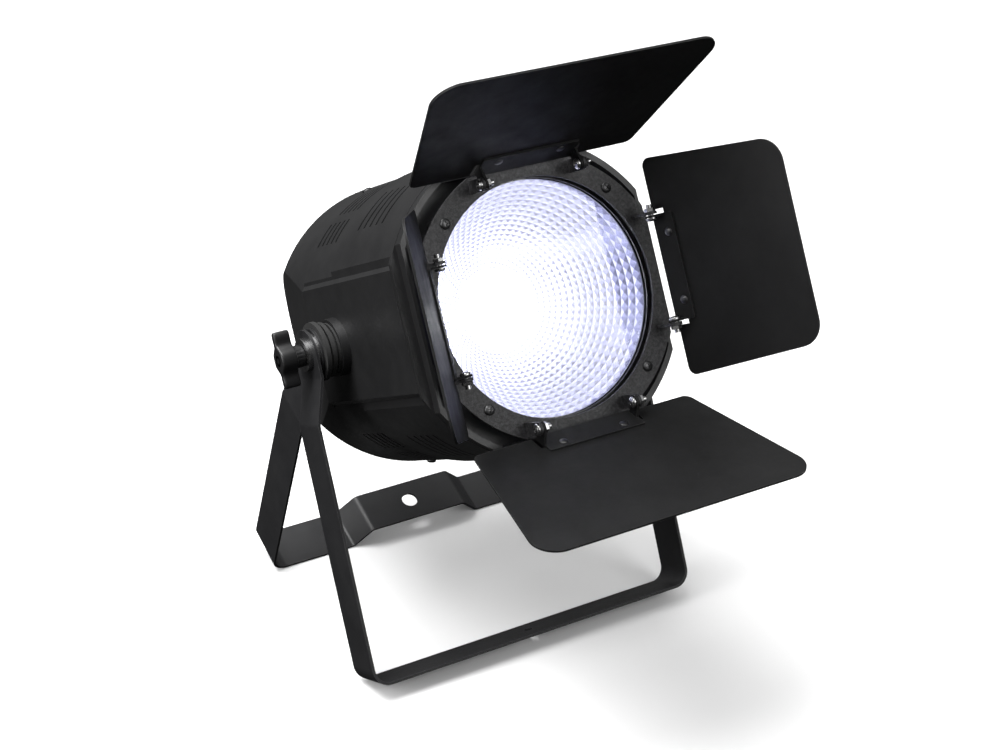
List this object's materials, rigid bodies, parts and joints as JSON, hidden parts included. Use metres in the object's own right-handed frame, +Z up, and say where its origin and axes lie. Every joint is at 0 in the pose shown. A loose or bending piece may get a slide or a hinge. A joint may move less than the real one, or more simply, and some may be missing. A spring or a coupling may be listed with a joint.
{
  "type": "led par can light",
  "caption": "LED par can stage light with a vented round housing, faceted reflector, four hinged barn doors and a folding double floor yoke.",
  "frame": {"origin": "on the floor under the middle of the whole outline at rest", "axes": "+Z up, the beam leaves towards -Y and 28 degrees up, X runs along the trunnion axis"},
  "size_m": [0.296, 0.4492, 0.4746],
  "materials": {
    "yoke_paint": "satin black powder coat on steel flat bar",
    "housing_plastic": "satin black fine-textured ABS",
    "door_paint": "matt black textured paint on sheet steel",
    "panel_paint": "matt black painted sheet",
    "zinc": "bright zinc plated",
    "brass": "turned brass",
    "knob_plastic": "moulded black nylon",
    "friction_rubber": "black friction rubber",
    "clear_glass": "clear toughened glass",
    "bright_reflector": "faceted bright anodised aluminium",
    "led_light": "lit white LED array",
    "board_metal": "white-masked metal-core board",
    "heatsink_metal": "extruded aluminium",
    "fan_plastic": "black moulded plastic",
    "board_green": "green solder mask",
    "socket_black": "black glass-filled nylon",
    "socket_power_in": "blue moulded plastic",
    "socket_power_out": "light grey moulded plastic",
    "display_glass": "smoked clear window",
    "button_rubber": "dark grey silicone"
  },
  "bodies": {
    "rear_yoke": {"rear_yoke": "yoke_paint", "yoke_spacer_washers": "zinc"},
    "front_yoke": {"front_yoke": "yoke_paint", "clamp_washers": "zinc"},
    "head": {"friction_pads": "friction_rubber", "housing_shell": "housing_plastic", "cheek_left": "housing_plastic", "cheek_right": "housing_plastic", "threaded_insert_left": "brass", "threaded_insert_right": "brass", "cheek_screws": "zinc", "rear_cover": "housing_plastic", "cover_screws": "zinc", "front_bezel": "housing_plastic", "glass_gasket": "friction_rubber", "front_glass": "clear_glass", "glass_retainer": "zinc", "barndoor_ring": "door_paint", "ring_standoffs": "zinc", "ring_screws": "zinc", "hinge_screws": "zinc", "hinge_nuts": "zinc", "reflector": "bright_reflector", "led_board": "board_metal", "cob_led": "led_light", "heatsink": "heatsink_metal", "bulkhead": "door_paint", "fan_frame": "fan_plastic", "driver_board": "board_green", "control_board": "board_green", "rear_panel": "panel_paint", "panel_screws": "zinc", "display_window": "display_glass", "dmx_in_socket": "socket_black", "dmx_out_socket": "socket_black", "power_in_socket": "socket_power_in", "power_out_socket": "socket_power_out", "fuse_holder": "knob_plastic", "safety_eye": "zinc"},
    "knob_left": {"knob_left": "knob_plastic", "stud_left": "zinc"},
    "knob_right": {"knob_right": "knob_plastic", "stud_right": "zinc"},
    "leaf_top": {"leaf_top": "door_paint", "hinge_bracket_top": "door_paint", "leaf_rivets_top": "zinc"},
    "leaf_left": {"leaf_left": "door_paint", "hinge_bracket_left": "door_paint", "leaf_rivets_left": "zinc"},
    "leaf_bottom": {"leaf_bottom": "door_paint", "hinge_bracket_bottom": "door_paint", "leaf_rivets_bottom": "zinc"},
    "leaf_right": {"leaf_right": "door_paint", "hinge_bracket_right": "door_paint", "leaf_rivets_right": "zinc"},
    "button_menu": {"button_menu": "button_rubber"},
    "button_down": {"button_down": "button_rubber"},
    "button_up": {"button_up": "button_rubber"},
    "button_enter": {"button_enter": "button_rubber"},
    "fan_rotor": {"fan_rotor": "fan_plastic"}
  },
  "joints": [
    {"name": "head_tilt", "type": "hinge", "parent": "rear_yoke", "child": "head", "pos_m": [0, 0.0653, 0.22808], "axis": [-1, 0, 0], "range_deg": [-45, 62]},
    {"name": "front_yoke_fold", "type": "hinge", "parent": "rear_yoke", "child": "front_yoke", "pos_m": [0, 0.0653, 0.22808], "axis": [-1, 0, 0], "range_deg": [-47.7, 15]},
    {"name": "knob_left_turn", "type": "hinge", "parent": "head", "child": "knob_left", "pos_m": [0, 0.0653, 0.22808], "axis": [-1, 0, 0], "continuous": true},
    {"name": "knob_right_turn", "type": "hinge", "parent": "head", "child": "knob_right", "pos_m": [0, 0.0653, 0.22808], "axis": [1, 0, 0], "continuous": true},
    {"name": "leaf_top_hinge", "type": "hinge", "parent": "head", "child": "leaf_top", "pos_m": [0, -0.03196, 0.37595], "axis": [1, 0, 0], "range_deg": [-61.1, 71.9]},
    {"name": "leaf_left_hinge", "type": "hinge", "parent": "head", "child": "leaf_left", "pos_m": [-0.0829, -0.07088, 0.30276], "axis": [0, 0.4695, 0.8829], "range_deg": [-55.3, 117.7]},
    {"name": "leaf_bottom_hinge", "type": "hinge", "parent": "head", "child": "leaf_bottom", "pos_m": [0, -0.1098, 0.22956], "axis": [-1, 0, 0], "range_deg": [-55.8, 77.2]},
    {"name": "leaf_right_hinge", "type": "hinge", "parent": "head", "child": "leaf_right", "pos_m": [0.0829, -0.07088, 0.30276], "axis": [0, -0.4695, -0.8829], "range_deg": [-63.1, 103.9]},
    {"name": "button_menu_press", "type": "slide", "parent": "head", "child": "button_menu", "axis": [0, -0.8829, 0.4695], "range_m": [0, 0.0012], "stiffness_N_per_m": 300},
    {"name": "button_down_press", "type": "slide", "parent": "head", "child": "button_down", "axis": [0, -0.8829, 0.4695], "range_m": [0, 0.0012], "stiffness_N_per_m": 300},
    {"name": "button_up_press", "type": "slide", "parent": "head", "child": "button_up", "axis": [0, -0.8829, 0.4695], "range_m": [0, 0.0012], "stiffness_N_per_m": 300},
    {"name": "button_enter_press", "type": "slide", "parent": "head", "child": "button_enter", "axis": [0, -0.8829, 0.4695], "range_m": [0, 0.0012], "stiffness_N_per_m": 300},
    {"name": "fan_spin", "type": "hinge", "parent": "head", "child": "fan_rotor", "pos_m": [0, 0.09449, 0.21482], "axis": [0, -0.8829, 0.4695], "continuous": true}
  ]
}
